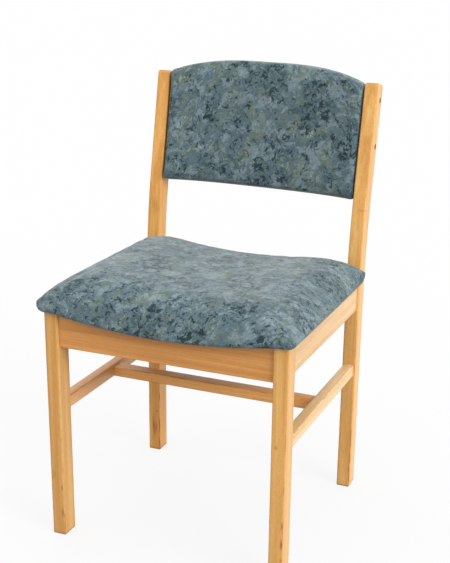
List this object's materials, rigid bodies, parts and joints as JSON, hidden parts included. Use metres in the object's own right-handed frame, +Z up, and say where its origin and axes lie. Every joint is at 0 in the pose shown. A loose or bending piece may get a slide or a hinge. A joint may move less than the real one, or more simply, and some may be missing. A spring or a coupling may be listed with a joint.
{
  "type": "waiting room chair",
  "caption": "Armless waiting room chair: tenoned, lacquered hardwood frame with raked back posts and stretchers, and a dished seat and arched backrest upholstered in printed fabric.",
  "frame": {"origin": "on the floor, under the middle of the chair's box", "axes": "+Z up, -Y the way the chair faces, +X to the right as seen from the front"},
  "size_m": [0.469, 0.5066, 0.8082],
  "materials": {
    "lacquered_beech": "satin clear lacquer",
    "raw_beech": "sawn, unfinished",
    "birch_plywood": "sanded, unfinished",
    "printed_fabric": "matt woven, mottled print",
    "polyurethane_foam": "matt open-cell foam",
    "black_lining": "matt non-woven",
    "zinc_plated_steel": "bright zinc plate",
    "brown_plug_plastic": "moulded, satin"
  },
  "bodies": {
    "root": {"front_leg_left": "lacquered_beech", "front_leg_right": "lacquered_beech", "back_post_left": "lacquered_beech", "back_post_right": "lacquered_beech", "front_rail": "lacquered_beech", "back_rail": "lacquered_beech", "side_rail_left": "lacquered_beech", "side_rail_right": "lacquered_beech", "side_stretcher_left": "lacquered_beech", "side_stretcher_right": "lacquered_beech", "cross_stretcher": "lacquered_beech", "corner_block_front_left": "raw_beech", "corner_block_front_right": "raw_beech", "corner_block_back_left": "raw_beech", "corner_block_back_right": "raw_beech", "block_screw_front_left_to_side": "zinc_plated_steel", "block_screw_front_left_to_front": "zinc_plated_steel", "block_screw_front_right_to_side": "zinc_plated_steel", "block_screw_front_right_to_front": "zinc_plated_steel", "block_screw_back_left_to_side": "zinc_plated_steel", "block_screw_back_left_to_back": "zinc_plated_steel", "block_screw_back_right_to_side": "zinc_plated_steel", "block_screw_back_right_to_back": "zinc_plated_steel", "seat_screw_front_left": "zinc_plated_steel", "seat_screw_front_right": "zinc_plated_steel", "seat_screw_back_left": "zinc_plated_steel", "seat_screw_back_right": "zinc_plated_steel", "seat_panel": "birch_plywood", "seat_foam": "polyurethane_foam", "seat_cover": "printed_fabric", "seat_lining": "black_lining", "back_panel": "birch_plywood", "back_batten_left": "raw_beech", "back_batten_right": "raw_beech", "back_foam": "polyurethane_foam", "back_rear_foam": "polyurethane_foam", "back_cover": "printed_fabric", "back_rear_panel": "printed_fabric", "back_screw_left_lower": "zinc_plated_steel", "back_screw_left_upper": "zinc_plated_steel", "back_screw_right_lower": "zinc_plated_steel", "back_screw_right_upper": "zinc_plated_steel", "post_plug_left_lower": "brown_plug_plastic", "post_plug_left_upper": "brown_plug_plastic", "post_plug_right_lower": "brown_plug_plastic", "post_plug_right_upper": "brown_plug_plastic"}
  },
  "joints": []
}
